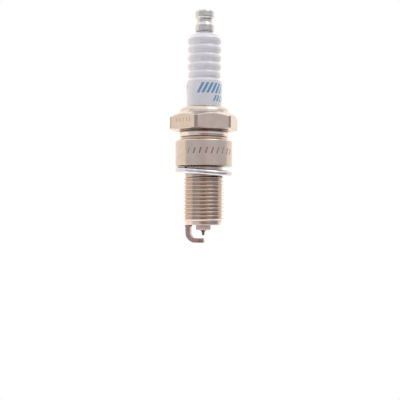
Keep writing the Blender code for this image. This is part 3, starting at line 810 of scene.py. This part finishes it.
# ---------------------------------------------------------------- the firing end
def make_centre_electrode(nickel):
    """The nickel cup with its head, the fine wire in its end and the weld bead between them."""
    cup = filleted([
        (0.6, ELECTRODE_TOP_Z, 0),
        (1.45, ELECTRODE_TOP_Z, 0.1),
        (1.45, ELECTRODE_TOP_Z - 2.15, 0.1),
        (1.05, ELECTRODE_TOP_Z - 2.15, 0),
        (1.05, NOSE_END_Z - 0.05, 0.1),
        (0.5, ELECTRODE_END_Z, 0.06),
        (0.0, ELECTRODE_END_Z, 0),
        (0.0, ELECTRODE_END_Z + 1.9, 0),
        (0.6, ELECTRODE_END_Z + 1.9, 0),
    ])
    stands_for(turned("centre_electrode_surface", cup, nickel, 64, 50), "centre_electrode")
    tip = filleted([
        (0.0, TIP_TOP_Z, 0),
        (0.42, TIP_TOP_Z, 0.05),
        (0.37, TIP_END_Z + 0.22, 0.15),
        (0.22, TIP_END_Z + 0.03, 0.12),
        (0.0, TIP_END_Z, 0),
    ])
    stands_for(turned("fine_tip_surface", tip, tip_metal(), 48, 60), "iridium_tip")
    weld_top = high_z("tip_weld")
    weld_end = low_z("tip_weld")
    weld_middle = (weld_top + weld_end) / 2
    half_weld = (weld_top - weld_end) / 2
    bead = [(0.0, weld_top)] + arc((0.46, weld_middle), (0.08, half_weld), 90, -90, 8)
    bead.append((0.0, weld_end))

    def pulsed(angle):
        """The laser's pulses leave ten small swells round the bead."""
        pulse = 1 + 0.03 * math.cos(10 * angle)
        return [(r * pulse, z) for r, z in bead]

    bead_columns = columns_round(48, pulsed)
    stands_for(from_columns("tip_weld_surface", bead_columns, weld_metal(), 60), "tip_weld")


def strap_section(width, thickness, rounding):
    """A rectangle with round corners, as (across the thickness, across the width) points."""
    points = []
    for quarter in range(4):
        sign_t = 1 if quarter in (0, 3) else -1
        sign_w = 1 if quarter in (0, 1) else -1
        centre = (sign_t * (thickness / 2 - rounding), sign_w * (width / 2 - rounding))
        points += arc(centre, (rounding, rounding), 90 * quarter, 90 * quarter + 90, 4)
    return points


def strap_stations():
    """(x, z, heading in degrees, width, thickness, rounding) from the root to the tip."""
    whole = (STRAP_WIDTH, STRAP_THICKNESS, STRAP_ROUNDING)
    leg_z = STRAP_END_Z + STRAP_THICKNESS / 2
    bend_x = STRAP_BEND_R - STRAP_ROOT_R
    bend_z = leg_z + STRAP_BEND_R
    taper_x = STRAP_TIP_X - STRAP_TAPER
    stations = [(-STRAP_ROOT_R, STRAP_ROOT_Z, -90, *whole)]
    for x, z in arc((bend_x, bend_z), (STRAP_BEND_R, STRAP_BEND_R), 180, 270, 28):
        heading = math.degrees(math.atan2(z - bend_z, x - bend_x)) + 90
        stations.append((x, z, heading, *whole))
    stations.append((taper_x, leg_z, 0, *whole))
    for share in (0.2, 0.4, 0.6, 0.8, 0.93):
        width = STRAP_WIDTH + (STRAP_END_WIDTH - STRAP_WIDTH) * share
        stations.append((taper_x + STRAP_TAPER * share, leg_z, 0, width, STRAP_THICKNESS, STRAP_ROUNDING))
    for back, trim in ((0.06, 0.03), (0.02, 0.09), (0.0, 0.16)):
        width = STRAP_END_WIDTH - trim
        stations.append((STRAP_TIP_X - back, leg_z, 0, width, STRAP_THICKNESS - trim, 0.16))
    return stations


def make_ground_electrode(nickel):
    """A bar swept from the shell's end, round its bend and in under the tip."""
    turn = Matrix.Rotation(STRAP_AZIMUTH, 3, "Z")
    mesh = bmesh.new()
    sections = []
    for x, z, heading, width, thickness, rounding in strap_stations():
        across_x = -math.sin(math.radians(heading))
        across_z = math.cos(math.radians(heading))
        section = strap_section(width, thickness, rounding)
        points = [Vector((x + t * across_x, w, z + t * across_z)) for t, w in section]
        sections.append([mesh.verts.new(turn @ point) for point in points])
    for section, next_section in zip(sections, sections[1:]):
        for i in range(len(section)):
            j = (i + 1) % len(section)
            mesh.faces.new((section[i], section[j], next_section[j], next_section[i]))
    mesh.faces.new(sections[0])
    mesh.faces.new(reversed(sections[-1]))
    stands_for(finish_mesh("ground_strap_surface", mesh, nickel, 35), "ground_electrode")


def make_weld_flash():
    """Two rough beads, squeezed out at the strap's root when it was welded to the shell."""
    surface = weld_metal()
    bead_half_size = (0.21, 1.22, 0.26, 1.0)
    turn = Matrix.Rotation(STRAP_AZIMUTH, 4, "Z")
    for name, node in (("outer_flash", "ground_weld_outer"), ("inner_flash", "ground_weld_inner")):
        low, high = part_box(node)
        centre = (low + high) / 2 / MM
        mesh = bmesh.new()
        bmesh.ops.create_icosphere(mesh, subdivisions=4, radius=1.0)
        for vert in mesh.verts:
            rough = noise.fractal(vert.co * 2.3 + centre, 1.0, 2.0, 3)
            vert.co *= 0.92 + 0.16 * rough
        place = Matrix.Translation(centre) @ turn @ Matrix.Diagonal(bead_half_size)
        bmesh.ops.transform(mesh, matrix=place, verts=mesh.verts)
        stands_for(finish_mesh(name, mesh, surface, 60), node)


# ---------------------------------------------------------------- inner nodes keep their CAD shape
def dress_inner_nodes():
    wire = packing_steel()
    seal = powder("copper_glass", (0.46, 0.26, 0.18), (0.22, 0.12, 0.09), 0.3)
    dressed = {
        "upper_packing_ring": wire,
        "lower_packing_ring": wire,
        "inner_seat_gasket": wire,
        "talc_filling": powder("talc_powder", (0.80, 0.79, 0.75), (0.66, 0.64, 0.60), 0.4),
        "upper_glass_seal": seal,
        "lower_glass_seal": seal,
        "resistor": powder("carbon_glass", (0.09, 0.09, 0.09), (0.03, 0.03, 0.03), 0.25),
        "copper_core": copper_metal(),
    }
    for node, surface in dressed.items():
        slots = frame["nodes"][node].data.materials
        slots.clear()
        slots.append(surface)


# ---------------------------------------------------------------- studio
def make_camera():
    """Level with the firing end and looking a little up, as in the picture, which leans by half a degree."""
    distance = 0.300
    pixels_per_metre = 2960
    image_width = 400
    aim_side = -1.16 * MM
    camera_z = -17.05 * MM
    aim_z = camera_z + 5.74 * MM
    lean = Matrix.Rotation(math.radians(0.41), 4, "Z")
    right = Vector((math.cos(VIEW_AZIMUTH), math.sin(VIEW_AZIMUTH), 0))
    away = Vector((-math.sin(VIEW_AZIMUTH), math.cos(VIEW_AZIMUTH), 0))
    camera = bpy.data.objects.new("camera", bpy.data.cameras.new("camera"))
    bpy.context.scene.collection.objects.link(camera)
    camera.data.sensor_width = 36
    camera.data.lens = 36 * pixels_per_metre * distance / image_width
    camera.data.clip_start = 0.01
    camera.location = -away * distance + Vector((0, 0, camera_z))
    aim = right * aim_side + Vector((0, 0, aim_z))
    turned_to_aim = (aim - camera.location).to_track_quat("-Z", "Y").to_matrix().to_4x4()
    camera.matrix_world = Matrix.Translation(camera.location) @ turned_to_aim @ lean
    bpy.context.scene.camera = camera


def make_floor():
    """White paper far below, seen but not reflected: the sky gives what the metal reflects."""
    half = 1.5
    mesh = bpy.data.meshes.new("floor")
    corners = [(-half, -half, 0), (half, -half, 0), (half, half, 0), (-half, half, 0)]
    mesh.from_pydata(corners, [], [(0, 1, 2, 3)])
    floor = bpy.data.objects.new("floor", mesh)
    bpy.context.scene.collection.objects.link(floor)
    floor.location.z = -0.45
    s = Surface("floor_paper")
    fibre = s.noise(3.0, 3.0)
    s.set(Base_Color=s.mix(fibre, (0.88, 0.88, 0.88), (0.92, 0.92, 0.92)), Roughness=0.9)
    s.set(Emission_Color=(1.0, 1.0, 1.0, 1.0), Emission_Strength=0.25)
    mesh.materials.append(s.material)
    floor.visible_glossy = False
    floor.visible_diffuse = False


class Sky:
    """The world's node tree, built with short calls."""

    def __init__(self):
        world = bpy.data.worlds.new("studio")
        bpy.context.scene.world = world
        world.use_nodes = True
        self.tree = world.node_tree
        self.direction = self.tree.nodes.new("ShaderNodeTexCoord").outputs["Generated"]

    def node(self, kind, inputs, **settings):
        made = self.tree.nodes.new(kind)
        for key, setting in settings.items():
            setattr(made, key, setting)
        for key, source in inputs.items():
            if isinstance(source, bpy.types.NodeSocket):
                self.tree.links.new(source, made.inputs[key])
            else:
                made.inputs[key].default_value = source
        return made

    def smooth(self, source, low, high):
        inputs = {"Value": source, "From Min": low, "From Max": high}
        return self.node("ShaderNodeMapRange", inputs, interpolation_type="SMOOTHSTEP").outputs[0]

    def product(self, first, second):
        return self.node("ShaderNodeMath", {0: first, 1: second}, operation="MULTIPLY").outputs[0]

    def towards(self, azimuth, elevation=0.0):
        """The cosine of the angle from a direction, which is given in degrees from the viewer's side."""
        turn = VIEW_AZIMUTH - math.pi / 2 + math.radians(azimuth)
        rise = math.radians(elevation)
        aim = (math.cos(turn) * math.cos(rise), math.sin(turn) * math.cos(rise), math.sin(rise))
        dot = self.node("ShaderNodeVectorMath", {0: self.direction, 1: aim}, operation="DOT_PRODUCT")
        return dot.outputs["Value"]

    def mix(self, share, first, second):
        made = self.node("ShaderNodeMix", {0: share}, data_type="RGBA")
        for index, source in ((6, first), (7, second)):
            if isinstance(source, tuple):
                made.inputs[index].default_value = (*source, 1.0)
            else:
                self.tree.links.new(source, made.inputs[index])
        return made.outputs[2]


def make_studio_light():
    """A white tent round the plug, open on the viewer's side, with a lamp above and to the right.

    Each part goes over the ones before it. The camera itself sees plain white.
    """
    sky = Sky()
    height = sky.node("ShaderNodeSeparateXYZ", {0: sky.direction}).outputs["Z"]

    # warm walls, a cooler roof and a bright warm ground
    tent = sky.mix(sky.smooth(height, 0.2, 0.7), (1.27, 1.20, 1.12), (1.44, 1.44, 1.46))
    tent = sky.mix(sky.smooth(height, -0.2, -0.7), tent, (1.60, 1.52, 1.42))

    # the dimmer room behind the viewer, a little lighter to the right
    opening = sky.product(sky.smooth(sky.towards(14), -0.10, 0.02), sky.smooth(height, 0.80, 0.45))
    opening = sky.product(opening, sky.smooth(height, -0.92, -0.62))
    inside = sky.mix(sky.smooth(sky.towards(32), 0.85, 0.98), (0.75, 0.76, 0.83), (0.83, 0.83, 0.89))
    tent = sky.mix(opening, tent, inside)

    # a dark band, low on the right
    low_band = sky.product(sky.smooth(height, -0.05, -0.15), sky.smooth(height, -0.64, -0.46))
    low_right = sky.product(low_band, sky.smooth(sky.towards(50), 0.3, 0.6))
    tent = sky.mix(low_right, tent, (0.30, 0.31, 0.36))

    # a warm dark patch, low in front
    viewer = sky.product(sky.smooth(sky.towards(0, -26), 0.86, 0.97), 0.9)
    tent = sky.mix(viewer, tent, (0.40, 0.19, 0.165))

    # the lamp, which gives the crimp its highlight
    lamp = sky.smooth(sky.towards(58, 56), 0.93, 0.98)
    tent = sky.mix(lamp, tent, (3.0, 2.95, 2.9))
    seen = sky.node("ShaderNodeLightPath", {}).outputs["Is Camera Ray"]
    background = sky.tree.nodes["Background"]
    sky.tree.links.new(sky.mix(seen, tent, (1.0, 1.0, 1.0)), background.inputs["Color"])


make_camera()
make_floor()
make_studio_light()
bpy.context.scene.view_settings.view_transform = "Standard"

nickel = nickel_alloy()
make_shell()
make_insulator()
make_gasket()
make_terminal()
make_centre_electrode(nickel)
make_ground_electrode(nickel)
make_weld_flash()
dress_inner_nodes()
